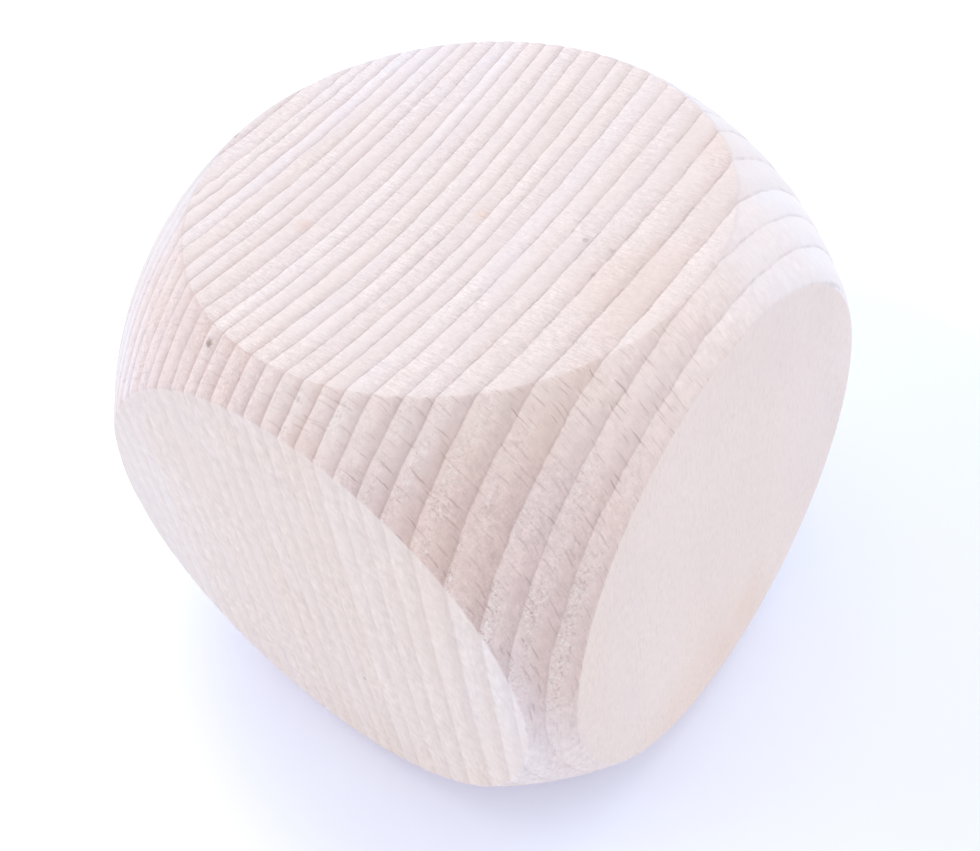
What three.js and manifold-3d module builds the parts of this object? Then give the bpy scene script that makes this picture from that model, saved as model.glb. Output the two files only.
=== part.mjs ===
// A blank wooden die, cut from one block of beech. The block is a cuboid whose corners and
// edges are turned away to a ball, which leaves each of its six sides as one round flat.
// Millimetres, +Z up and along the grain. The origin is the centre of the flat it stands on.
import * as THREE from 'three';
import { mergeVertices } from 'three/addons/utils/BufferGeometryUtils.js';
import Module from 'manifold-3d';

// Driving dimensions. Each pair of flats is its own distance apart, because the wood has
// shrunk most along its growth rings, less across them and hardly at all along the grain.
const WIDTH_X = 48.9;       // flat to flat, along the growth rings
const DEPTH_Y = 49.7;       // flat to flat, across the growth rings
const HEIGHT_Z = 50.0;      // flat to flat, along the grain
const BALL_DIAMETER = 66.0; // the ball that the corners and edges are turned to
const EDGE_BREAK = 0.3;     // width of the narrow sanded edge round each flat

// Finish
const BEECH_COLOUR = 0xe9dcd7;
const BEECH_ROUGHNESS = 0.75;

// Fineness of the faceted surfaces
const BALL_DETAIL = 16;     // splits along each edge of the icosahedron under the ball
const RIM_STEPS = 96;       // straight steps round each sanded edge

const wasm = await Module();
wasm.setup();

// A closed geometry as a solid that can be cut.
function solid(geometry) {
  const shell = geometry.clone();
  shell.deleteAttribute('normal');
  shell.deleteAttribute('uv');
  const merged = mergeVertices(shell);
  return new wasm.Manifold(new wasm.Mesh({
    numProp: 3,
    vertProperties: new Float32Array(merged.attributes.position.array),
    triVerts: new Uint32Array(merged.index.array),
  }));
}

// A cut solid back as a geometry.
function geometryOf(cut) {
  const mesh = cut.getMesh();
  const geometry = new THREE.BufferGeometry();
  geometry.setAttribute('position', new THREE.BufferAttribute(mesh.vertProperties, 3));
  geometry.setIndex(new THREE.BufferAttribute(mesh.triVerts, 1));
  return geometry;
}

// Two cones, base to base on the +Y axis, that take the sharp corner off the rims of both
// flats that lie flatToFlat apart. The slant leans halfway between flat and ball.
function edgeBreaker(flatToFlat) {
  const ballRadius = BALL_DIAMETER / 2;
  const reach = flatToFlat / 2;
  const rimRadius = Math.sqrt(ballRadius ** 2 - reach ** 2);
  const slant = Math.atan2(rimRadius, reach) / 2;
  const flatRadius = rimRadius - EDGE_BREAK / (2 * Math.cos(slant));
  const tip = reach + flatRadius * Math.tan(slant);
  const base = tip / Math.tan(slant);
  const profile = [
    new THREE.Vector2(0, -tip),
    new THREE.Vector2(base, 0),
    new THREE.Vector2(0, tip),
  ];
  return new THREE.LatheGeometry(profile, RIM_STEPS);
}

function dieGeometry() {
  const block = new THREE.BoxGeometry(WIDTH_X, DEPTH_Y, HEIGHT_Z);
  const ball = new THREE.IcosahedronGeometry(BALL_DIAMETER / 2, BALL_DETAIL);
  const alongX = edgeBreaker(WIDTH_X).rotateZ(-Math.PI / 2);
  const alongY = edgeBreaker(DEPTH_Y);
  const alongZ = edgeBreaker(HEIGHT_Z).rotateX(Math.PI / 2);
  let die = solid(block).intersect(solid(ball));
  for (const breaker of [alongX, alongY, alongZ]) {
    die = die.intersect(solid(breaker));
  }
  return geometryOf(die);
}

const beech = new THREE.MeshStandardMaterial({
  color: BEECH_COLOUR,
  roughness: BEECH_ROUGHNESS,
  metalness: 0,
  flatShading: true,
});

const dieBody = new THREE.Mesh(dieGeometry(), beech);
dieBody.name = 'die_body';
dieBody.position.z = HEIGHT_Z / 2;

const die = new THREE.Group();
die.add(dieBody);

export default die;
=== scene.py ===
# A blank wooden die of bare beech. The growth rings are real relief in the mesh: each ring is a
# low ridge, with a groove where one year ends and the next begins. The rings' own number is kept
# on the mesh, so the colour of the wood follows the same sheets.
import math

import bmesh
import bpy
import numpy as np
from mathutils import Matrix, Vector, noise


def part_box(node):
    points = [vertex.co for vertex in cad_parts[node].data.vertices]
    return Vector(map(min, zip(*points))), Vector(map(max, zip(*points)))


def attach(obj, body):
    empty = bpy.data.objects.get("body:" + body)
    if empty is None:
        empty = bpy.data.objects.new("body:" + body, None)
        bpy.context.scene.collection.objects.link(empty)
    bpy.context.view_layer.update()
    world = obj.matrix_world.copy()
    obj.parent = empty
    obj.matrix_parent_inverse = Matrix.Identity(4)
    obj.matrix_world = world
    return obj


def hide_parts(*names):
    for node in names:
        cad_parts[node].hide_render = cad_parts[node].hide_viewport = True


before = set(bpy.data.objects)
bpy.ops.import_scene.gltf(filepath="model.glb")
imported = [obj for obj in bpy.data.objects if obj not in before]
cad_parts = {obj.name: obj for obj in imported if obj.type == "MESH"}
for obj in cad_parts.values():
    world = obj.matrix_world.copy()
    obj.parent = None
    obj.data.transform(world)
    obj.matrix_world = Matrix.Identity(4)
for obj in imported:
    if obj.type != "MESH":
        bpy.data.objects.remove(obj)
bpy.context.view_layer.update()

MM = 0.001

# ---------------------------------------------------------------------------------------
# The die's sizes in millimetres, from the CAD node
# ---------------------------------------------------------------------------------------
low, high = (np.array(corner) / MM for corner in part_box("die_body"))
centre = (low + high) / 2
reach = (high - low) / 2            # from the middle to each pair of flats
cad_points = np.array([v.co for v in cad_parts["die_body"].data.vertices]) / MM
ball_radius = np.linalg.norm(cad_points - centre, axis=1).max()
rim_radius = np.sqrt(ball_radius ** 2 - reach ** 2)
EDGE_BREAK = 0.3                    # width of the sanded edge round each flat

# ---------------------------------------------------------------------------------------
# The growth rings
# ---------------------------------------------------------------------------------------
# Each year's growth on the top flat, from the +Y side to the -Y side, along the line where the
# rings turn. The first four and the last two are guesses. The widths between them, and how the
# rings bend and lean, are a fit's results, rounded.
FIRST_RING = 26.8                   # where the first one begins, along Y
RING_WIDTHS = [
    1.7, 1.5, 1.5, 1.6, 2.1, 1.0, 1.8, 1.3, 1.9, 1.5, 1.5, 2.0, 1.8, 1.4, 1.7, 1.8,
    1.6, 1.6, 1.6, 1.4, 1.5, 1.7, 1.9, 1.8, 2.1, 2.6, 2.6, 1.9, 2.0, 2.1, 2.1,
]
ring_starts = FIRST_RING - np.concatenate([[0.0], np.cumsum(RING_WIDTHS)])
ring_numbers = np.arange(len(ring_starts))

BEND_MIDDLE = -9.2                  # the rings turn here, along X
BEND_SOFTNESS = 16.3                # how wide the turn is
LEAST_BEND = 0.054                  # how steeply every ring runs off toward +Y beside the turn
MORE_BEND = 0.155                   # and how much steeper the most bent ring does
MOST_BENT = 1.6                     # where the most bent ring begins, along Y
BENT_REACH = 12.1                   # how far from it the extra bend dies away
LEAN = 0.0444                       # how far the rings move toward +Y for each millimetre down
LEAN_CHANGE = 0.00098               # how much more they do where they begin further toward +Y
LEAN_CURVE = 0.00082                # and how much less, further down
WAVINESS = 0.05                     # how far a ring strays from its even course


def ring_height(start, x, depth):
    """Y of the ring sheet that begins at start on the top flat, depth below that flat."""
    steepness = LEAST_BEND + MORE_BEND * np.exp(-((start - MOST_BENT) / BENT_REACH) ** 2)
    bend = np.hypot(x - BEND_MIDDLE, BEND_SOFTNESS) - BEND_SOFTNESS
    lean = (LEAN + LEAN_CHANGE * start) * depth - LEAN_CURVE * depth ** 2
    return start + steepness * bend + lean


def ring_number(points):
    """The ring at each point about the middle, counted from the +Y side, with a fraction."""
    x, y, z = points.T
    depth = reach[2] - z
    wave = np.sin(0.9 * x + 0.5 * y) + np.sin(0.37 * x - 0.8 * y + 0.25 * z)
    wave += np.sin(1.7 * x + 0.31 * z + 1.3 * y)
    y = y + WAVINESS / 2 * wave
    start = y.copy()
    for _ in range(25):             # settles on the sheet that passes through each point
        start += y - ring_height(start, x, depth)
    return np.interp(-start, -ring_starts, ring_numbers)


# ---------------------------------------------------------------------------------------
# The smooth blank: six flats, their sanded edges and the ball between them
# ---------------------------------------------------------------------------------------
FLAT_ROWS = 20                      # rows of faces from the middle of a flat to its edge
EDGE_ROWS = 4                       # rows over the sanded edge
BALL_ROWS = 6                       # rows from a sanded edge to the next flat's rows
SIDE_ROWS = FLAT_ROWS + EDGE_ROWS + BALL_ROWS
SAME_POINT = 0.001                  # points nearer than this, in millimetres, are one
TURNED = 3                          # material index of the ball; a flat's is its axis


def square_angle(i, j):
    """The angle round a square's middle of grid point i, j, evenly spaced along the sides."""
    if abs(i) >= abs(j):
        return math.pi / 4 * j / i + (math.pi if i < 0 else 0) if i else 0.0
    return math.pi / 2 - math.pi / 4 * i / j + (math.pi if j < 0 else 0)


def section_point(axis, row, angle):
    """Distance out from a flat's axis, height along it, and flatness, for one row."""
    rim = rim_radius[axis]
    top = reach[axis]
    flat_edge = rim - EDGE_BREAK / 2
    rim_tilt = math.asin(rim / ball_radius)
    ball_tilt = rim_tilt + EDGE_BREAK / 2 / ball_radius
    if row <= FLAT_ROWS:
        return (flat_edge - EDGE_BREAK) * row / FLAT_ROWS, top, 1.0
    row -= FLAT_ROWS + 1
    if row == 0:
        return flat_edge, top, 1.0
    if row == 1:
        ball_edge = ball_radius * math.sin(ball_tilt), ball_radius * math.cos(ball_tilt)
        out = flat_edge / 4 + rim / 2 + ball_edge[0] / 4
        return out, top * 3 / 4 + ball_edge[1] / 4, 0.5
    tilt = ball_tilt
    if row > 2:
        tilt += EDGE_BREAK / ball_radius
        last_tilt = math.atan(1 / max(abs(math.cos(angle)), abs(math.sin(angle))))
        tilt += (last_tilt - tilt) * (row - EDGE_ROWS + 1) / BALL_ROWS
    return ball_radius * math.sin(tilt), ball_radius * math.cos(tilt), 0.0


def side_grid(mesh, axis, sign, flatness):
    """One sixth of the blank: a flat and its share of the ball."""
    up = np.zeros(3)
    up[axis] = sign
    across = np.roll(np.abs(up), 1)
    along = np.cross(up, across)
    span = range(-SIDE_ROWS, SIDE_ROWS + 1)
    grid = {}
    for i in span:
        for j in span:
            angle = square_angle(i, j)
            out, height, flat = section_point(axis, max(abs(i), abs(j)), angle)
            place = height * up + out * (math.cos(angle) * across + math.sin(angle) * along)
            grid[i, j] = mesh.verts.new(place)
            grid[i, j][flatness] = flat
    for i in span[:-1]:
        for j in span[:-1]:
            corners = grid[i, j], grid[i + 1, j], grid[i + 1, j + 1], grid[i, j + 1]
            face = mesh.faces.new(corners)
            face.smooth = True
            on_flat = all(corner[flatness] == 1.0 for corner in corners)
            face.material_index = axis if on_flat else TURNED


def smooth_blank():
    """The whole blank as a closed mesh. Its flatness layer is 1 on a flat and 0 on the ball."""
    mesh = bmesh.new()
    flatness = mesh.verts.layers.float.new("flatness")
    for axis in range(3):
        for sign in (-1, 1):
            side_grid(mesh, axis, sign, flatness)
    bmesh.ops.remove_doubles(mesh, verts=mesh.verts, dist=SAME_POINT)
    return mesh


# ---------------------------------------------------------------------------------------
# The ring relief
# ---------------------------------------------------------------------------------------
# How far into a ring each cut lies, and the depth there as a share of the full depth. Each
# ring is a low round ridge, with a groove where its late wood meets the next early wood.
RING_CUTS = [0.0, 0.05, 0.18, 0.42, 0.65, 0.82, 0.94, 1.0]
SANDED_DEPTHS = [1.0, 0.6, 0.18, 0.0, 0.0, 0.1, 0.5, 1.0]
TURNED_DEPTHS = [1.0, 0.78, 0.4, 0.08, 0.0, 0.15, 0.5, 1.0]
SANDED_DEPTH = np.array([0.014, 0.0, 0.04])      # on the X, Y and Z flats
TURNED_DEPTH = 0.13
TURNED_LEVEL = 0.3                  # the share of that depth at which the ball's own size lies
USUAL_RING = 1.8                    # a wider ring is cut deeper, a narrower one less
EVEN_CORNER = (-22.0, -24.0, -14.0)  # the lowest near corner, which is nearly smooth, and painted paler for light bounced up from the table
EVEN_REACH = 16.0                   # how far from it the relief takes to reach its full depth
RIM_BLEND = 0.9                     # how far from a rim the surface follows it sideways
RING_SCALE = 1.6                    # millimetres that one ring takes up while it is cut
CUT_SNAP = 0.004                    # a point this near to a cut is taken to lie on it


def cut_along_rings(mesh):
    """Cuts the mesh along the ring sheets. The cut points keep their place in a layer."""
    place = mesh.verts.layers.float_vector.new("place")
    numbers = ring_number(np.array([v.co for v in mesh.verts]))
    for vertex, number in zip(mesh.verts, numbers):
        vertex[place] = vertex.co
        vertex.co.y = number * RING_SCALE
    first = math.floor(numbers.min())
    last = math.ceil(numbers.max())
    for ring in range(first, last):
        for share in RING_CUTS[:-1]:
            bmesh.ops.bisect_plane(
                mesh,
                geom=mesh.verts[:] + mesh.edges[:] + mesh.faces[:],
                plane_co=(0, (ring + share) * RING_SCALE, 0),
                plane_no=(0, 1, 0),
                dist=CUT_SNAP,
            )
    return place


def relief_at(points, numbers, flat_axis):
    """Depth of the relief on the flats and on the turned ball, at each point."""
    ring = np.floor(numbers)
    share = numbers - ring
    width = np.array(RING_WIDTHS)[np.clip(ring.astype(int), 0, len(RING_WIDTHS) - 1)]
    vigour = width / USUAL_RING
    vigour *= np.array([1 + 0.35 * noise.noise(Vector(p) * 0.12) for p in points])
    vigour *= np.interp(points[:, 1], [2, 16], [1.0, 0.65])
    from_corner = np.linalg.norm(points - EVEN_CORNER, axis=1)
    vigour *= np.interp(from_corner, [EVEN_REACH / 3, EVEN_REACH], [0.1, 1.0])
    slant = np.sqrt(1 - (points[:, 1] / np.linalg.norm(points, axis=1)) ** 2)
    sanded = np.interp(share, RING_CUTS, SANDED_DEPTHS) * SANDED_DEPTH[flat_axis] * vigour
    turned = np.interp(share, RING_CUTS, TURNED_DEPTHS) - TURNED_LEVEL
    return sanded, turned * TURNED_DEPTH * vigour * slant


def relieved(points, numbers, flatness):
    """The points moved in by the relief. A rim keeps to where flat and ball now meet."""
    flat_axis = np.argmax(np.abs(points) - reach, axis=1)
    sanded, turned = relief_at(points, numbers, flat_axis)
    every = np.arange(len(points))

    up = np.zeros_like(points)
    up[every, flat_axis] = np.sign(points[every, flat_axis])
    outward = points - (points * up).sum(1)[:, None] * up
    out = np.linalg.norm(outward, axis=1)
    outward /= np.maximum(out, 1e-6)[:, None]
    normal = points / np.linalg.norm(points, axis=1)[:, None]

    flat_reach = reach[flat_axis]
    rim = rim_radius[flat_axis]
    new_rim = np.sqrt((ball_radius - turned) ** 2 - (flat_reach - sanded) ** 2)
    from_rim = np.abs(out - rim) - EDGE_BREAK / 2
    nearness = 1 - np.clip(from_rim / RIM_BLEND, 0, 1)
    nearness *= nearness * (3 - 2 * nearness)
    across_rings = 1 - outward[:, 1] ** 2
    slide = (new_rim - rim) * nearness * across_rings

    tilt_sine = rim / ball_radius
    tilt_cosine = flat_reach / ball_radius
    down_ball = tilt_cosine[:, None] * outward - tilt_sine[:, None] * up
    ball_slide = slide * tilt_cosine + sanded * tilt_sine * nearness * across_rings
    flat_move = slide[:, None] * outward - sanded[:, None] * up
    ball_move = ball_slide[:, None] * down_ball - turned[:, None] * normal
    return points + flatness[:, None] * flat_move + (1 - flatness[:, None]) * ball_move


def ring_cut_die():
    """The die as a mesh object, with the ring number of each point kept for its colour."""
    cut = smooth_blank()
    place = cut_along_rings(cut)
    flatness_layer = cut.verts.layers.float["flatness"]
    points = np.array([v[place] for v in cut.verts])
    numbers = np.array([v.co.y for v in cut.verts]) / RING_SCALE
    flatness = np.array([v[flatness_layer] for v in cut.verts])
    points = relieved(points, numbers, flatness)
    for vertex, point in zip(cut.verts, points):
        vertex.co = (point + centre) * MM
    data = bpy.data.meshes.new("ring_cut_die")
    cut.to_mesh(data)
    cut.free()
    for layer in ("flatness", "place"):
        data.attributes.remove(data.attributes[layer])
    data.attributes.new("ring", "FLOAT", "POINT").data.foreach_set("value", numbers)
    die = bpy.data.objects.new("ring_cut_die", data)
    bpy.context.scene.collection.objects.link(die)
    return die


# ---------------------------------------------------------------------------------------
# Node helpers
# ---------------------------------------------------------------------------------------
class Wiring:
    """Adds nodes to a tree and wires them. A value can be a number or another node's socket,
    and what comes back is the new node's output, so that calls can follow on."""

    def __init__(self, tree):
        self.tree = tree

    def node(self, kind, **settings):
        made = self.tree.nodes.new("ShaderNode" + kind)
        for name, value in settings.items():
            setattr(made, name, value)
        return made

    def feed(self, socket, value):
        """Links value to the socket if it is a socket itself, and else sets it there."""
        if isinstance(value, bpy.types.NodeSocket):
            self.tree.links.new(value, socket)
        else:
            socket.default_value = value

    def math(self, operation, *values):
        made = self.node("Math", operation=operation)
        for socket, value in zip(made.inputs, values):
            self.feed(socket, value)
        return made.outputs[0]

    def vector(self, operation, *values):
        made = self.node("VectorMath", operation=operation)
        for socket, value in zip(made.inputs, values):
            self.feed(socket, value)
        return made.outputs[0]

    def ease(self, value, start, end, low=0.0, high=1.0):
        """low up to start, high from end on, and a smooth rise between them."""
        made = self.node("MapRange", interpolation_type="SMOOTHSTEP")
        for socket, given in zip(made.inputs, (value, start, end, low, high)):
            self.feed(socket, given)
        return made.outputs[0]

    def scale(self, value, start, end, low, high):
        """value from start to end as low to high, in a straight line."""
        made = self.node("MapRange", clamp=False)
        for socket, given in zip(made.inputs, (value, start, end, low, high)):
            self.feed(socket, given)
        return made.outputs[0]

    def blend(self, share, first, second, kind="MIX"):
        """first where share is 0 and second where it is 1, as colours."""
        made = self.node("Mix", data_type="RGBA", blend_type=kind)
        self.feed(made.inputs[0], share)
        self.feed(made.inputs[6], first)
        self.feed(made.inputs[7], second)
        return made.outputs[2]

    def split(self, vector):
        made = self.node("SeparateXYZ")
        self.feed(made.inputs[0], vector)
        return made.outputs

    def join(self, x, y, z):
        made = self.node("CombineXYZ")
        for socket, value in zip(made.inputs, (x, y, z)):
            self.feed(socket, value)
        return made.outputs[0]

    def cloud(self, place, size, detail=2.0, roughness=0.5):
        """Smooth noise from 0 to 1, of one size or of its own size along each axis."""
        sizes = size if isinstance(size, tuple) else (size, size, size)
        made = self.node("TexNoise", noise_dimensions="3D")
        stretched = self.vector("DIVIDE", place, sizes)
        self.feed(made.inputs["Vector"], stretched)
        made.inputs["Scale"].default_value = 1.0
        made.inputs["Detail"].default_value = detail
        made.inputs["Roughness"].default_value = roughness
        return made.outputs[0]

    def use(self, group, **values):
        """A copy of a node group. A space in a socket's name is written as an underscore."""
        made = self.node("Group", node_tree=group)
        for name, value in values.items():
            self.feed(made.inputs[name.replace("_", " ")], value)
        return made.outputs


def new_group(name, inputs, outputs):
    """An empty node group. inputs maps a socket's name to its value, outputs is a list."""
    tree = bpy.data.node_groups.new(name, "ShaderNodeTree")
    for label, value in inputs.items():
        kind = "NodeSocketVector" if value is None else "NodeSocketFloat"
        socket = tree.interface.new_socket(label, in_out="INPUT", socket_type=kind)
        if value is not None:
            socket.default_value = value
    for label in outputs:
        tree.interface.new_socket(label, in_out="OUTPUT", socket_type="NodeSocketFloat")
    wiring = Wiring(tree)
    given = tree.nodes.new("NodeGroupInput").outputs
    result = tree.nodes.new("NodeGroupOutput").inputs
    return wiring, given, result


# ---------------------------------------------------------------------------------------
# What the wood's materials share
# ---------------------------------------------------------------------------------------
# The years that stand out: which ring, how much paler (or, below 0, darker) and how much warmer.
ODD_YEARS = [
    (5, 0.3, -0.2), (7, 0.9, -0.4), (10, -0.3, 0.0), (13, 0.5, 0.0), (15, -0.3, 0.2),
    (21, 0.7, -0.4), (24, -0.2, 0.3), (25, -0.5, 0.5), (26, -0.4, 0.4), (28, -0.3, 0.0),
]


def ring_tone_group():
    """How far each point is from the early wood to the late wood of its growth ring. The ramp and
    the end line are partly the wood's own colour and partly painted light and shade on each ring's
    ridge and groove.
    """
    wiring, given, result = new_group(
        "Ring tone",
        {"Place": None, "Contrast": 1.0, "End rise": 0.35, "End start": 0.45, "Softness": 0.08},
        ["Lateness", "End line", "Paleness", "Warmth"],
    )
    number = wiring.node("Attribute", attribute_name="ring").outputs["Fac"]
    ragged = wiring.cloud(given["Place"], (0.4, 0.5, 0.8), detail=2.0)
    ragged = wiring.scale(ragged, 0.3, 0.7, -0.016, 0.016)
    share = wiring.math("FRACT", wiring.math("ADD", number, ragged))
    year = wiring.math("FLOOR", number)
    own = wiring.node("TexWhiteNoise", noise_dimensions="1D")
    wiring.feed(own.inputs["W"], year)
    own_colours = wiring.split(own.outputs["Color"])

    rise = wiring.math("MULTIPLY", wiring.math("POWER", share, 1.1), 0.65)
    end_start = given["End start"]
    end_stop = wiring.math("ADD", end_start, 0.36)
    rise = wiring.math("ADD", rise, wiring.ease(share, end_start, end_stop, 0.0, given["End rise"]))
    carried_over = wiring.ease(share, 0.0, given["Softness"], 1.0, 0.0)
    late = wiring.math("MAXIMUM", rise, carried_over)

    patchy = wiring.cloud(given["Place"], (5.0, 1.5, 9.0))
    strength = wiring.math(
        "MULTIPLY",
        wiring.scale(own_colours[0], 0.0, 1.0, 0.75, 1.25),
        wiring.scale(patchy, 0.3, 0.7, 0.75, 1.25),
    )
    strength = wiring.math("MULTIPLY", strength, given["Contrast"])
    from_middle = wiring.math("MULTIPLY", wiring.math("SUBTRACT", late, 0.5), strength)
    wiring.feed(result["Lateness"], wiring.math("ADD", from_middle, 0.5))
    # The end line: partly the late wood's own dark edge, partly painted shade of the groove.
    line = wiring.math(
        "MAXIMUM", wiring.ease(share, 0.9, 0.97), wiring.ease(share, 0.0, 0.02, 1.0, 0.0))
    broken = wiring.cloud(given["Place"], (1.5, 0.8, 1.5), detail=3.0)
    broken = wiring.ease(broken, 0.33, 0.65, 0.15, 1.25)
    wiring.feed(result["End line"], wiring.math("MULTIPLY", line, broken))

    paleness = wiring.scale(own_colours[1], 0.0, 1.0, -0.25, 0.25)
    warmth = wiring.scale(own_colours[2], 0.0, 1.0, -0.15, 0.15)
    for odd_year, paler, warmer in ODD_YEARS:
        this_year = wiring.math("COMPARE", year, odd_year, 0.5)
        paleness = wiring.math("MULTIPLY_ADD", this_year, paler, paleness)
        warmth = wiring.math("MULTIPLY_ADD", this_year, warmer, warmth)
    wiring.feed(result["Paleness"], paleness)
    wiring.feed(result["Warmth"], warmth)
    return wiring.tree


def ray_group():
    """The wood's rays: thin upright blades that run from +Y to -Y, each one a spindle seen
    end on and a long line seen from above."""
    wiring, given, result = new_group(
        "Rays",
        {"Place": None, "Spacing": 0.8, "Thickness": 0.14, "Height": 1.2, "Length": 7.0},
        ["Ray", "Own value"],
    )
    wander = wiring.scale(wiring.cloud(given["Place"], (2.0, 3.0, 3.0)), 0.0, 1.0, -0.3, 0.3)
    place = wiring.vector("ADD", given["Place"], wiring.join(wander, 0.0, 0.0))
    room = wiring.join(
        given["Spacing"],
        wiring.math("MULTIPLY", given["Length"], 1.25),
        wiring.math("MULTIPLY", given["Height"], 1.25),
    )
    cells = wiring.node("TexVoronoi", voronoi_dimensions="3D", feature="F1")
    scaled = wiring.vector("DIVIDE", place, room)
    wiring.feed(cells.inputs["Vector"], scaled)
    cells.inputs["Scale"].default_value = 1.0
    apart = wiring.vector("SUBTRACT", scaled, cells.outputs["Position"])
    apart = wiring.vector("ABSOLUTE", wiring.vector("MULTIPLY", apart, room))
    x, y, z = wiring.split(apart)
    own = wiring.split(cells.outputs["Color"])
    half_height = wiring.math("MULTIPLY", given["Height"], wiring.scale(own[0], 0, 1, 0.25, 0.6))
    half_length = wiring.math("MULTIPLY", given["Length"], 0.5)
    up_share = wiring.math("DIVIDE", z, half_height)
    taper = wiring.math("SUBTRACT", 1.0, wiring.math("POWER", up_share, 2.0))
    along_share = wiring.math("DIVIDE", y, half_length)
    end_taper = wiring.math("SUBTRACT", 1.0, wiring.math("POWER", along_share, 4.0))
    half = wiring.math("MULTIPLY", given["Thickness"], 0.5)
    edge = wiring.math("MULTIPLY", half, wiring.math("MULTIPLY", taper, end_taper))
    inside = wiring.math("SUBTRACT", edge, x)
    soft = wiring.math("MULTIPLY", half, 0.5)
    ray = wiring.ease(inside, wiring.math("MULTIPLY", soft, -1.0), soft)
    alive = wiring.math("GREATER_THAN", taper, 0.0)
    alive = wiring.math("MULTIPLY", alive, wiring.math("GREATER_THAN", end_taper, 0.0))
    patch = wiring.ease(wiring.cloud(given["Place"], (5.0, 6.0, 7.0)), 0.38, 0.6, 0.65, 1.0)
    alive = wiring.math("MULTIPLY", alive, patch)
    wiring.feed(result["Ray"], wiring.math("MULTIPLY", ray, alive))
    wiring.feed(result["Own value"], own[1])
    return wiring.tree


def grain_group():
    """The fine grain. Fibres stand up along Z, streaks are thin across X, specks are round."""
    wiring, given, result = new_group(
        "Fine grain", {"Place": None},
        ["Fibres", "Streaks", "Speckle", "Mottle", "Pores", "Dashes"])
    fibres = wiring.cloud(given["Place"], (0.32, 0.42, 0.9), detail=1.0, roughness=0.35)
    streaks = wiring.cloud(given["Place"], (0.12, 0.9, 1.3), detail=2.0, roughness=0.6)
    speckle = wiring.cloud(given["Place"], (0.2, 0.2, 0.28), detail=2.0, roughness=0.7)
    mottle = wiring.cloud(given["Place"], (0.7, 0.8, 1.0), detail=2.0)
    pores = wiring.cloud(given["Place"], (0.12, 0.14, 0.8), detail=1.0)
    patch = wiring.ease(wiring.cloud(given["Place"], (6.0, 4.0, 8.0)), 0.35, 0.65, 0.5, 1.5)
    for name, value in (("Fibres", fibres), ("Streaks", streaks), ("Speckle", speckle)):
        even = wiring.math("SUBTRACT", value, 0.5)
        wiring.feed(result[name], wiring.math("MULTIPLY_ADD", even, patch, 0.5))
    wiring.feed(result["Mottle"], mottle)
    wiring.feed(result["Pores"], wiring.ease(pores, 0.56, 0.7))
    dashes = wiring.cloud(given["Place"], (0.32, 0.36, 1.1), detail=0.0)
    wiring.feed(result["Dashes"], wiring.ease(dashes, 0.56, 0.64))
    return wiring.tree


def cut_quality_group():
    """How the tool left the wood, and the light painted on it. It cut against the grain at the -X
    and
    -Y corners, which are rough, and with it toward +X and +Y, where the wood is clean. There the
    colour is also painted paler and cooler for the cool light from behind on the right and the pale
    glow at the far left outline, and the ray marks fade where that light washes them out.
    The lowest near corner is smooth again, and is painted paler for light bounced up from the
    table."""
    wiring, given, result = new_group(
        "Cut quality", {"Place": None},
        ["Rough", "Clean and lit", "Torn", "Toward X", "Ray marks", "Off corner"])
    height = wiring.split(given["Place"])[2]
    wander = wiring.scale(wiring.cloud(given["Place"], 7.0), 0.3, 0.7, -3.0, 3.0)
    x, y, z = wiring.split(wiring.vector("ADD", given["Place"], wiring.join(wander, wander, 0.0)))
    rough = wiring.ease(x, -21.0, -3.0, 1.0, 0.0)
    wiring.feed(result["Torn"], wiring.math("MULTIPLY", rough, wiring.ease(y, 2.0, 12.0, 1.0, 0.3)))
    under_top = wiring.ease(height, 19.5, 24.0)
    under_top = wiring.math("MULTIPLY", under_top, wiring.ease(y, -2.0, 2.0, 0.85, 0.0))
    rough = wiring.math("MULTIPLY", rough, wiring.math("SUBTRACT", 1.0, under_top))
    wiring.feed(result["Rough"], rough)
    # Clean and lit: where the tool cut cleanly, and where the cool back light and the far outline's
    # glow are painted on.
    clean_and_lit = wiring.math("MAXIMUM", wiring.ease(x, -3.0, 19.0), wiring.ease(y, 13.0, 22.0, 0, 0.7))
    wiring.feed(result["Clean and lit"], clean_and_lit)
    wiring.feed(result["Toward X"], wiring.ease(x, -6.0, 10.0))
    # The ray marks fade toward +X and +Y, standing in for the bright light washing them out there.
    shown = wiring.ease(x, -14.0, 6.0, 1.0, 0.15)
    shown = wiring.math("MULTIPLY", shown, wiring.ease(y, -16.0, -2.0, 1.0, 0.4))
    wiring.feed(result["Ray marks"], shown)
    from_corner = wiring.node("VectorMath", operation="DISTANCE")
    wiring.feed(from_corner.inputs[0], given["Place"])
    wiring.feed(from_corner.inputs[1], EVEN_CORNER)
    off_corner = wiring.ease(from_corner.outputs["Value"], EVEN_REACH / 2, EVEN_REACH * 1.4)
    wiring.feed(result["Off corner"], off_corner)
    return wiring.tree


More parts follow.
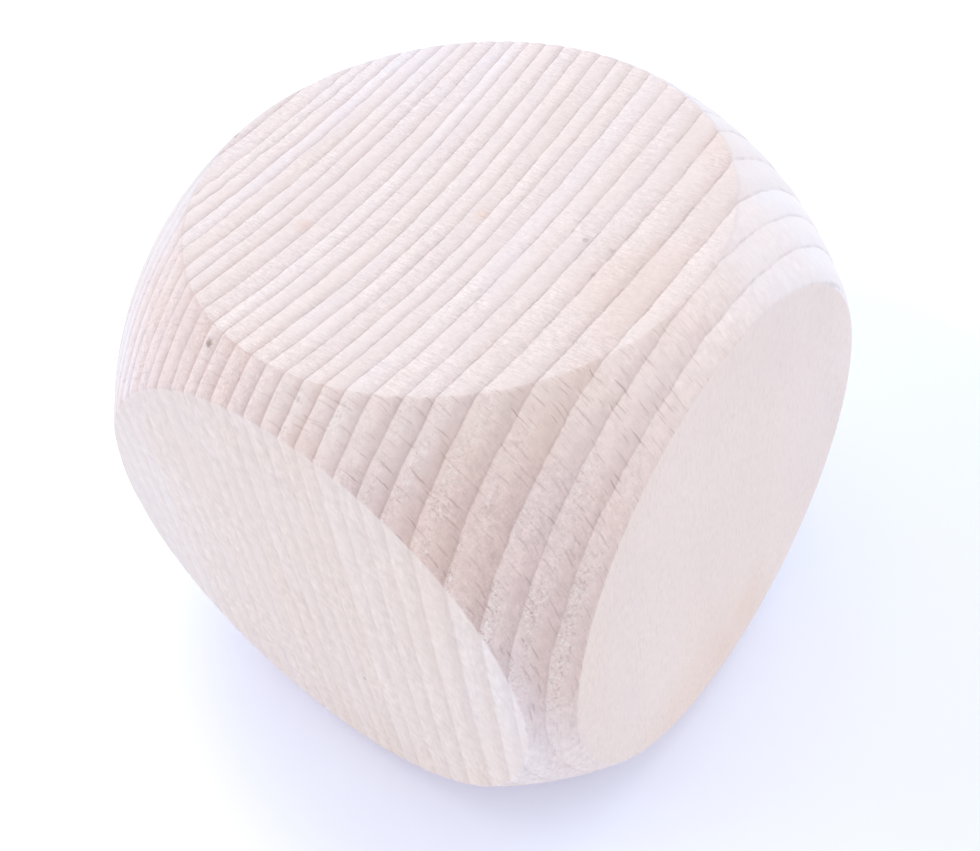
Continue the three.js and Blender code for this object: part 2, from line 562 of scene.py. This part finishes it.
def torn_grain_group():
    """Where the tool has torn the soft early wood: small light and dark specks in patches,
    which keep to one growth ring each."""
    wiring, given, result = new_group(
        "Torn grain", {"Place": None, "Lateness": 0.5}, ["Light specks", "Dark specks"])
    number = wiring.node("Attribute", attribute_name="ring").outputs["Fac"]
    across_rings = wiring.math("MULTIPLY", number, RING_SCALE)
    x, y, height = wiring.split(given["Place"])
    along_rings = wiring.join(x, across_rings, height)
    specks = wiring.cloud(given["Place"], (0.28, 0.28, 0.32), detail=2.0, roughness=0.7)
    patch = wiring.ease(wiring.cloud(along_rings, (4.0, 1.0, 6.0)), 0.4, 0.58, 0.05, 1.0)
    low = wiring.ease(height, 12.0, 24.0, 1.0, 0.6)
    early = wiring.ease(given["Lateness"], 0.1, 0.5, 1.0, 0.1)
    amount = wiring.math("MULTIPLY", wiring.math("MULTIPLY", patch, low), early)
    light = wiring.ease(specks, 0.52, 0.62, 0.0, 0.75)
    dark = wiring.ease(specks, 0.34, 0.44, 0.45, 0.0)
    wiring.feed(result["Light specks"], wiring.math("MULTIPLY", light, amount))
    wiring.feed(result["Dark specks"], wiring.math("MULTIPLY", dark, amount))
    return wiring.tree


# Where the wood is a little browner, or, with a strength below 0, paler and cooler: the middle
# of each patch, how far it reaches along X, Y and Z, and its strength.
TONE_PATCHES = [
    ((-1.0, -18.0, 25.0), (8.0, 8.0, 8.0), 0.5),
    ((15.5, -13.0, 25.0), (4.5, 4.5, 4.5), 0.4),
    ((-0.9, -3.3, 25.0), (1.0, 1.0, 1.0), 1.6),
    ((-8.9, 8.2, 25.0), (1.2, 1.2, 1.2), 1.4),
    ((-20.5, 0.0, 25.0), (4.0, 16.0, 1.5), 0.4),
    ((15.0, 14.0, 25.0), (16.0, 14.0, 6.0), -1.0),
    ((0.0, 21.0, 25.0), (18.0, 6.0, 6.0), -0.4),
    ((-15.3, -18.8, 22.4), (4.0, 4.0, 4.0), 0.8),
    ((-19.3, -15.0, 22.7), (3.0, 3.0, 3.0), 0.25),
    ((-11.0, -20.0, 24.0), (3.5, 4.0, 2.5), 0.6),
    ((-23.5, -9.5, 19.5), (4.0, 4.0, 4.0), -0.35),
    ((-24.0, 0.5, 21.0), (4.0, 7.0, 2.5), -0.45),
    ((-20.5, 15.0, 23.0), (5.0, 7.0, 4.5), 0.4),
    ((-21.5, 13.0, 18.0), (6.0, 14.0, 6.0), -0.6),
    ((-22.2, 6.5, 23.6), (4.0, 4.0, 3.0), 0.4),
    ((-24.5, -21.0, 2.0), (3.0, 8.0, 24.0), -0.9),
    ((-24.5, 18.0, 0.0), (3.0, 11.0, 24.0), -0.6),
    ((-24.5, -2.0, 0.0), (3.0, 13.0, 26.0), 0.3),
    ((-24.5, -4.0, -21.0), (3.0, 16.0, 10.0), 0.4),
    ((-24.5, -2.0, 21.0), (3.0, 18.0, 7.0), 0.4),
    ((-24.5, -18.0, 18.0), (3.0, 8.0, 6.0), 0.4),
    ((-6.0, -24.9, -18.0), (14.0, 3.0, 11.0), 0.6),
    ((6.0, -24.9, -18.0), (10.0, 9.0, 9.0), 1.1),
    ((-10.0, -24.9, 20.0), (14.0, 3.0, 8.0), 0.3),
    ((18.0, -24.9, 4.0), (16.0, 3.0, 24.0), -0.2),
]


def blotch_group():
    """Slow changes of colour, which run along the growth rings, and the tone patches."""
    wiring, given, result = new_group("Blotches", {"Place": None}, ["Warm", "Dark", "Brown"])
    number = wiring.node("Attribute", attribute_name="ring").outputs["Fac"]
    x, y, z = wiring.split(given["Place"])
    along_rings = wiring.join(x, wiring.math("MULTIPLY", number, RING_SCALE), z)
    warm = wiring.cloud(along_rings, (11.0, 2.2, 20.0), detail=3.0)
    shifted = wiring.vector("ADD", along_rings, (40.0, 15.0, 70.0))
    dark = wiring.cloud(shifted, (8.0, 1.8, 14.0), detail=3.0)
    wiring.feed(result["Warm"], wiring.scale(warm, 0.3, 0.7, 0.0, 1.0))
    wiring.feed(result["Dark"], wiring.scale(dark, 0.3, 0.7, 0.0, 1.0))
    brown = 0.0
    for middle, patch_reach, strength in TONE_PATCHES:
        offset = wiring.vector("SUBTRACT", given["Place"], middle)
        away = wiring.node("VectorMath", operation="LENGTH")
        wiring.feed(away.inputs[0], wiring.vector("DIVIDE", offset, patch_reach))
        spread = wiring.ease(away.outputs["Value"], 0.0, 1.0, strength, 0.0)
        brown = wiring.math("ADD", spread, brown)
    streaky = wiring.scale(dark, 0.3, 0.7, 0.5, 1.5)
    wiring.feed(result["Brown"], wiring.math("MULTIPLY", brown, streaky))
    return wiring.tree


# The few marks in the wood: where each lies from the die's middle, its size across and how
# dark it is.
SMALL_MARKS = [
    ((-21.7, 5.8, 24.2), 0.8, 0.65),
    ((-24.4, -3.9, -8.9), 0.45, 0.4),
    ((0.6, -11.7, 25.0), 0.6, 0.3),
    ((0.6, -14.0, 25.0), 0.6, 0.2),
    ((-2.2, -14.3, 25.0), 0.45, 0.25),
    ((-3.1, 21.3, 25.0), 0.7, 0.3),
]


def small_mark_group():
    """Small dark flecks, like a pin knot or a bruise, each at its own place."""
    wiring, given, result = new_group("Small marks", {"Place": None}, ["Mark"])
    ragged = wiring.scale(wiring.cloud(given["Place"], 0.3, detail=3.0), 0.3, 0.7, 0.6, 1.4)
    mark = 0.0
    for middle, width, depth in SMALL_MARKS:
        away = wiring.node("VectorMath", operation="DISTANCE")
        wiring.feed(away.inputs[0], given["Place"])
        wiring.feed(away.inputs[1], middle)
        distance = wiring.math("MULTIPLY", away.outputs["Value"], ragged)
        spot = wiring.ease(distance, width * 0.15, width * 0.6, depth, 0.0)
        mark = wiring.math("MAXIMUM", spot, mark)
    wiring.feed(result["Mark"], mark)
    return wiring.tree


RING_TONE = ring_tone_group()
RAYS = ray_group()
FINE_GRAIN = grain_group()
CUT_QUALITY = cut_quality_group()
TORN_GRAIN = torn_grain_group()
BLOTCHES = blotch_group()
SMALL_MARK = small_mark_group()
RING_FADE = np.array([0.085, 0.105, 0.107])      # how much paler early wood is than the mean, partly its own colour, partly painted light on each ring's ridge
PATCH_BROWN = np.array([0.015, 0.055, 0.10])     # what a tone patch of strength 1 takes away
PATCH_LIMIT = 1.5                                # the strongest that patches can add up to
END_LINE_SHADE = (0.80, 0.77, 0.78, 1)           # what the year's end line multiplies by; partly painted shade of the groove there
# Painted light: the lowest near corner's colour, paler for light bounced up from the table
BOUNCE_LIT_CORNER = (0.917, 0.84, 0.855, 1)
PALE_FIBRE = (1.0, 0.95, 0.92, 1)
RAY_BROWN = (0.44, 0.31, 0.29, 1)
MARK_BROWN = (0.20, 0.13, 0.08, 1)
SPECK_RELIEF = 3.0                               # how far a torn speck stands out or lies in


class Cut:
    """How one way of cutting the block shows the wood. Each value is plain until it is set."""

    wood = (0.86, 0.77, 0.74, 1)        # the mean colour
    rough_wood = None                   # and where the tool left it rough, on turned wood
    clean_lit_wood = None                   # and where it left it clean, if that differs; painted paler and cooler for the cool back light
    clean_detail = 0.25                 # how much of the fine detail is left where it is clean
    turned = False                      # whether the ball tool cut it, which tears the wood
    ring_contrast = (0.3, 0.3)          # between early and late wood, at +Y and at -Y
    toward_x = 1.0                      # how much of that contrast is left at +X, where the bright light from behind washes it out
    end_rise = 0.35                     # how much of it comes at the end of the year
    end_start = 0.45                    # where in the ring that last part begins
    end_line = (0.1, 0.1)               # a thin dark line where the year ends, at -X and +X; partly the wood's own, partly painted groove shade
    ring_softness = 0.3                 # how far the edge of a ring is blurred
    year_tone = 1.0                     # how much the odd years stand out
    ray_size = (0.62, 0.13, 1.25, 2.6)  # spacing, thickness, height and length
    ray_tone = RAY_BROWN
    ray_share = 0.25                    # how strongly the rays show, and the finer ones
    fine_ray_share = 0.15
    fibres = 0.03                       # how much each kind of fine grain lightens or darkens
    streaks = 0.03
    speckle = 0.02
    mottle = 0.01
    fibre_relief = 0.0                  # how much of the fine relief is fibres, and dashes
    dash_relief = 0.0
    bump = 0.006                        # height of the fine relief, in millimetres
    roughness = 0.7

    def __init__(self, **values):
        for name, value in values.items():
            setattr(self, name, value)


def grey(wiring, value):
    """The same value in all three channels of a colour."""
    return wiring.join(value, value, value)


def contrast_at(wiring, cut, place, quality):
    """How much the early and the late wood of a ring differ at each point, painted light and shade
    on the ring's ridge included.
    """
    at_far_side, at_near_side = cut.ring_contrast
    y = wiring.split(place)[1]
    contrast = wiring.ease(y, -18.0, 8.0, at_near_side, at_far_side)
    fading = wiring.scale(quality["Toward X"], 0, 1, 1.0, cut.toward_x)
    contrast = wiring.math("MULTIPLY", contrast, fading)
    if cut.turned:
        left = wiring.scale(quality["Off corner"], 0, 1, 0.3, 1.0)
        contrast = wiring.math("MULTIPLY", contrast, left)
    return contrast


def wood_colour(wiring, cut, quality, rings, blotches):
    """The colour before any fine grain: the mean tone, the rings, the years and the patches, with
    some painted light and shade.
    """
    colour = cut.wood
    if cut.turned:
        colour = wiring.blend(quality["Rough"], colour, cut.rough_wood)
    # Painted light: a paler, cooler colour where the cool back light falls.
    if cut.clean_lit_wood:
        colour = wiring.blend(quality["Clean and lit"], colour, cut.clean_lit_wood)
    # Painted light: the lowest near corner is painted paler, for light bounced up from the table.
    if cut.turned:
        colour = wiring.blend(quality["Off corner"], BOUNCE_LIT_CORNER, colour)
    # The ring ramp is partly the wood's own early and late colour, partly painted light and shade
    # across each ring's ridge.
    ring_shade = wiring.blend(rings["Lateness"], (*(1 + RING_FADE), 1), (*(1 - RING_FADE), 1))
    colour = wiring.blend(1.0, colour, ring_shade, "MULTIPLY")
    # The end line is partly the late wood's own dark edge, partly painted shade of the groove at
    # the year's end.
    line = wiring.scale(quality["Toward X"], 0, 1, *cut.end_line)
    line = wiring.math("MULTIPLY", rings["End line"], line)
    colour = wiring.blend(line, colour, END_LINE_SHADE, "MULTIPLY")

    half = cut.year_tone / 2
    paleness = wiring.scale(rings["Paleness"], -1, 1, 0.5 - half, 0.5 + half)
    warmth = wiring.scale(rings["Warmth"], -1, 1, 0.5 - half, 0.5 + half)
    brown = wiring.scale(blotches["Brown"], -PATCH_LIMIT, PATCH_LIMIT, 0.0, 1.0)
    most_brown = PATCH_LIMIT * PATCH_BROWN
    shifts = [
        (blotches["Warm"], (0.992, 0.998, 1.012, 1), (1.008, 0.998, 0.985, 1)),
        (paleness, (0.97, 0.95, 0.94, 1), (1.03, 1.05, 1.06, 1)),
        (warmth, (1.0, 1.01, 1.035, 1), (1.0, 0.99, 0.965, 1)),
        (brown, (*(1 + most_brown), 1), (*(1 - most_brown), 1)),
    ]
    for amount, least, most in shifts:
        shift = wiring.blend(amount, least, most)
        colour = wiring.blend(1.0, colour, shift, "MULTIPLY")
    return colour


def fine_tone(wiring, cut, grain, speckle, blotches):
    """How much lighter or darker than 1 the fine grain makes the wood."""
    tone = wiring.scale(blotches["Dark"], 0, 1, 1.015, 0.985)
    kinds = [
        (grain["Fibres"], cut.fibres),
        (grain["Streaks"], cut.streaks),
        (speckle, cut.speckle),
        (grain["Mottle"], cut.mottle),
    ]
    for mask, share in kinds:
        tone = wiring.math("MULTIPLY", tone, wiring.scale(mask, 0.3, 0.7, 1 - share, 1 + share))
    pores = wiring.scale(grain["Pores"], 0, 1, 1.0, 1 - cut.fibres)
    return wiring.math("MULTIPLY", tone, pores)


def beech(name, cut):
    """Bare beech, cut one way through its grain."""
    material = bpy.data.materials.new(name)
    material.use_nodes = True
    wiring = Wiring(material.node_tree)
    shader = material.node_tree.nodes["Principled BSDF"]
    coordinates = wiring.node("TexCoord").outputs["Object"]
    place = wiring.vector("MULTIPLY", coordinates, (1 / MM, 1 / MM, 1 / MM))
    place = wiring.vector("SUBTRACT", place, tuple(centre))

    quality = wiring.use(CUT_QUALITY, Place=place)
    rings = wiring.use(
        RING_TONE, Place=place, Contrast=contrast_at(wiring, cut, place, quality),
        End_rise=cut.end_rise, End_start=cut.end_start, Softness=cut.ring_softness)
    spacing, thickness, height, length = cut.ray_size
    rays = wiring.use(
        RAYS, Place=place, Spacing=spacing, Thickness=thickness, Height=height, Length=length)
    fine_rays = wiring.use(
        RAYS, Place=place, Spacing=0.34, Thickness=0.08, Height=0.7, Length=1.4)
    grain = wiring.use(FINE_GRAIN, Place=place)
    blotches = wiring.use(BLOTCHES, Place=place)

    speckle = grain["Speckle"]
    in_late_wood = wiring.ease(rings["Lateness"], 0.1, 0.8, 0.6, 1.0)
    bold = wiring.math("MULTIPLY", rays["Ray"], wiring.scale(rays["Own value"], 0, 1, 0.4, 0.95))
    bold = wiring.math("MULTIPLY", bold, in_late_wood)
    faint = wiring.math("MULTIPLY", fine_rays["Ray"], fine_rays["Own value"])
    if cut.turned:
        off_corner = quality["Off corner"]
        even = wiring.math("SUBTRACT", speckle, 0.5)
        left = wiring.scale(quality["Rough"], 0, 1, 0.25, 1.0)
        left = wiring.math("MULTIPLY", left, wiring.scale(off_corner, 0, 1, 0.4, 1.0))
        speckle = wiring.math("MULTIPLY_ADD", even, left, 0.5)
        bold = wiring.math("MULTIPLY", bold, quality["Ray marks"])
        bold = wiring.math("MULTIPLY", bold, wiring.scale(off_corner, 0, 1, 0.3, 1.0))
        faint = wiring.math("MULTIPLY", faint, quality["Ray marks"])

    colour = wood_colour(wiring, cut, quality, rings, blotches)
    tone = fine_tone(wiring, cut, grain, speckle, blotches)
    detail_share = 1.0
    if cut.clean_lit_wood:
        detail_share = wiring.scale(quality["Clean and lit"], 0, 1, 1.0, cut.clean_detail)
        off_even = wiring.math("SUBTRACT", tone, 1.0)
        tone = wiring.math("MULTIPLY_ADD", off_even, detail_share, 1.0)
    colour = wiring.blend(1.0, colour, grey(wiring, tone), "MULTIPLY")
    cover = wiring.math("MULTIPLY", bold, cut.ray_share)
    fine_cover = wiring.math("MULTIPLY", faint, cut.fine_ray_share)
    cover = wiring.math("MAXIMUM", cover, fine_cover)
    colour = wiring.blend(cover, colour, cut.ray_tone)

    height = wiring.math("SUBTRACT", speckle, bold)
    height = wiring.math("SUBTRACT", height, wiring.math("MULTIPLY", grain["Pores"], 0.4))
    height = wiring.math("MULTIPLY_ADD", grain["Fibres"], cut.fibre_relief, height)
    height = wiring.math("MULTIPLY_ADD", grain["Dashes"], cut.dash_relief, height)
    if cut.turned:
        torn_grain = wiring.use(TORN_GRAIN, Place=place, Lateness=rings["Lateness"])
        torn = wiring.math("MULTIPLY", quality["Torn"], off_corner)
        light_specks = wiring.math("MULTIPLY", torn_grain["Light specks"], torn)
        dark_specks = wiring.math("MULTIPLY", torn_grain["Dark specks"], torn)
        colour = wiring.blend(light_specks, colour, PALE_FIBRE)
        colour = wiring.blend(dark_specks, colour, RAY_BROWN)
        height = wiring.math("MULTIPLY_ADD", light_specks, SPECK_RELIEF, height)
        height = wiring.math("MULTIPLY_ADD", dark_specks, -SPECK_RELIEF, height)
    height = wiring.math("MULTIPLY", height, detail_share)
    marks = wiring.use(SMALL_MARK, Place=place)
    colour = wiring.blend(marks["Mark"], colour, MARK_BROWN)
    wiring.feed(shader.inputs["Base Color"], colour)

    relief = wiring.node("Bump")
    relief.inputs["Strength"].default_value = 1.0
    relief.inputs["Distance"].default_value = cut.bump * MM
    wiring.feed(relief.inputs["Height"], height)
    wiring.feed(shader.inputs["Normal"], relief.outputs["Normal"])
    roughness = wiring.scale(
        grain["Speckle"], 0.3, 0.7, cut.roughness - 0.06, cut.roughness + 0.06)
    wiring.feed(shader.inputs["Roughness"], roughness)
    shader.inputs["Specular IOR Level"].default_value = 0.35
    return material


QUARTER_SAWN = Cut(
    wood=(0.856, 0.761, 0.729, 1), clean_lit_wood=(0.853, 0.785, 0.775, 1), clean_detail=0.4,
    ring_contrast=(0.2, 0.55), ring_softness=0.15, year_tone=0.35,
    ray_tone=(0.62, 0.50, 0.46, 1), ray_share=0.12, fine_ray_share=0.1,
    fibres=0.035, streaks=0.01, speckle=0.015, mottle=0.025,
    fibre_relief=2.5, dash_relief=1.5)
PLAIN_SAWN = Cut(
    wood=(0.862, 0.761, 0.730, 1), clean_lit_wood=(0.869, 0.780, 0.760, 1), clean_detail=0.8,
    year_tone=0.3, ray_size=(0.6, 0.1, 1.0, 2.6), ray_share=0.3, fine_ray_share=0.12,
    fibres=0.014, streaks=0.01, speckle=0.012, mottle=0.015, dash_relief=0.4)
END_GRAIN = Cut(
    wood=(0.872, 0.772, 0.757, 1), ring_contrast=(0.95, 0.85), end_rise=0.4, end_start=0.55,
    end_line=(0.65, 0.65), ring_softness=0.02, ray_size=(0.5, 0.12, 1.25, 1.8),
    ray_tone=(1.0, 0.93, 0.90, 1), ray_share=0.35, fine_ray_share=0.25,
    fibres=0.02, streaks=0.055, speckle=0.05, mottle=0.025, roughness=0.75, bump=0.01)
TURNED_WOOD = Cut(
    turned=True, wood=(0.850, 0.740, 0.709, 1), rough_wood=(0.819, 0.685, 0.662, 1),
    clean_lit_wood=(0.840, 0.800, 0.826, 1), ring_contrast=(0.5, 1.05), toward_x=0.25,
    end_line=(0.3, 0.5), ring_softness=0.04, ray_size=(0.6, 0.13, 1.9, 1.7),
    ray_share=0.75, fine_ray_share=0.3, fibres=0.03, streaks=0.02, speckle=0.06,
    mottle=0.045, roughness=0.8, bump=0.012)


die = ring_cut_die()
die.data.materials.append(beech("quarter_sawn_beech", QUARTER_SAWN))
die.data.materials.append(beech("plain_sawn_beech", PLAIN_SAWN))
die.data.materials.append(beech("end_grain_beech", END_GRAIN))
die.data.materials.append(beech("turned_beech", TURNED_WOOD))
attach(die, "root")
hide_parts("die_body")


# ---------------------------------------------------------------------------------------
# The floor, the light and the camera
# ---------------------------------------------------------------------------------------
MIDDLE = Vector(centre) * MM
FLOOR_SIZE = 6.0                    # metres
FLOOR_FADE = (0.042, 0.074)         # metres over which the table fades to white
SHADOW_MIDDLE = (0.012, -0.012, 0)  # where the shadow lies thickest, and that fade is centred
# A blue glow, seen only by the camera, painted into the floor's shadow near the die.
SHADOW_BLUE = (0.02, 0.03, 0.12, 1)
TABLE_WHITE = (0.5, 0.5, 0.5, 1)    # added to the table's own light beyond the fade
TABLE_SEEN = (0.93, 0.97, 1.0, 1)   # the table's colour to the camera
TABLE_LIGHT = (0.93, 0.93, 0.95, 1)  # and as it lights the die from below
LIGHT_DISTANCE = 0.6                # metres from the die's middle
LIGHT_SIZE = 0.4
COOL_WHITE = (0.76, 0.893, 1.0)
PLAIN_WHITE = (1.0, 1.0, 1.0)
ROOM_WHITE = (1.0, 0.97, 1.0)
ROOM_STRENGTH = 0.717
# The lens and the camera's place are a fit's results, rounded, and so are the strengths of the
# room and the lamps.
LENS = 48.17                        # millimetres, on a frame 36 mm wide
AIM = (-0.71, -0.53, -0.81)         # millimetres from the die's middle to where it is aimed
CAMERA_AZIMUTH = -46.384
CAMERA_ELEVATION = 47.612
CAMERA_DISTANCE = 119.97            # millimetres from there
CAMERA_ROLL = -8.658


def facing(azimuth, elevation):
    """The direction from the die to something at that azimuth and elevation, in degrees."""
    turn = math.radians(azimuth)
    rise = math.radians(elevation)
    return Vector((
        math.sin(turn) * math.cos(rise),
        -math.cos(turn) * math.cos(rise),
        math.sin(rise),
    ))


def looked_at(wiring):
    """1 where the camera sees the surface, straight, in a gloss or through something clear."""
    seen = wiring.node("LightPath").outputs
    either = wiring.math("MAXIMUM", seen["Is Camera Ray"], seen["Is Glossy Ray"])
    return wiring.math("MAXIMUM", either, seen["Is Transmission Ray"])


def white_floor():
    """A white table that fades to plain white for the camera, and keeps the die's shadow."""
    bpy.ops.mesh.primitive_plane_add(size=FLOOR_SIZE)
    floor = bpy.context.object
    floor.name = "white_floor"
    material = bpy.data.materials.new("white_floor")
    material.use_nodes = True
    wiring = Wiring(material.node_tree)
    nodes = material.node_tree.nodes
    nodes.remove(nodes["Principled BSDF"])
    seen = looked_at(wiring)
    paper = wiring.node("BsdfDiffuse")
    wiring.feed(paper.inputs["Color"], wiring.blend(seen, TABLE_LIGHT, TABLE_SEEN))
    away = wiring.node("VectorMath", operation="DISTANCE")
    wiring.feed(away.inputs[0], wiring.node("TexCoord").outputs["Object"])
    wiring.feed(away.inputs[1], SHADOW_MIDDLE)
    fade = wiring.ease(away.outputs["Value"], *FLOOR_FADE)
    glow = wiring.node("Emission")
    wiring.feed(glow.inputs["Color"], wiring.blend(fade, SHADOW_BLUE, TABLE_WHITE))
    wiring.feed(glow.inputs["Strength"], seen)
    both = wiring.node("AddShader")
    wiring.feed(both.inputs[0], paper.outputs[0])
    wiring.feed(both.inputs[1], glow.outputs[0])
    wiring.feed(nodes["Material Output"].inputs["Surface"], both.outputs[0])
    floor.data.materials.append(material)


def soft_light(name, azimuth, elevation, watts, colour):
    """A square soft box that looks at the die and isn't seen by the camera."""
    lamp = bpy.data.lights.new(name, "AREA")
    lamp.shape = "SQUARE"
    lamp.size = LIGHT_SIZE
    lamp.energy = watts
    lamp.color = colour
    box = bpy.data.objects.new(name, lamp)
    toward = facing(azimuth, elevation)
    box.location = MIDDLE + toward * LIGHT_DISTANCE
    box.rotation_euler = toward.to_track_quat("Z", "Y").to_euler()
    box.visible_camera = False
    bpy.context.scene.collection.objects.link(box)


def room_light():
    """An even fill from all round, which the camera sees as plain white."""
    world = bpy.data.worlds.new("room")
    bpy.context.scene.world = world
    world.use_nodes = True
    wiring = Wiring(world.node_tree)
    background = world.node_tree.nodes["Background"]
    seen = looked_at(wiring)
    colour = wiring.blend(seen, (*ROOM_WHITE, 1), (*PLAIN_WHITE, 1))
    wiring.feed(background.inputs["Color"], colour)
    wiring.feed(background.inputs["Strength"], wiring.scale(seen, 0, 1, ROOM_STRENGTH, 1.0))


def camera():
    """The camera, a hand's width from the die and tipped a little to one side."""
    lens = bpy.data.cameras.new("camera")
    lens.lens = LENS
    lens.sensor_width = 36.0
    lens.clip_start = 0.01
    view = bpy.data.objects.new("camera", lens)
    back = facing(CAMERA_AZIMUTH, CAMERA_ELEVATION)
    place = MIDDLE + (Vector(AIM) + back * CAMERA_DISTANCE) * MM
    roll = Matrix.Rotation(math.radians(CAMERA_ROLL), 4, "Z")
    turned = back.to_track_quat("Z", "Y").to_matrix().to_4x4() @ roll
    view.matrix_world = Matrix.Translation(place) @ turned
    bpy.context.scene.collection.objects.link(view)
    bpy.context.scene.camera = view


white_floor()
soft_light("back_left", -150, 12, 1.466, COOL_WHITE)
soft_light("low_right", 60, 12, 1.124, COOL_WHITE)
soft_light("high_right", 60, 40, 0.332, COOL_WHITE)
soft_light("overhead", 0, 90, 0.58, PLAIN_WHITE)
room_light()
camera()

bpy.context.scene.view_settings.view_transform = "Standard"
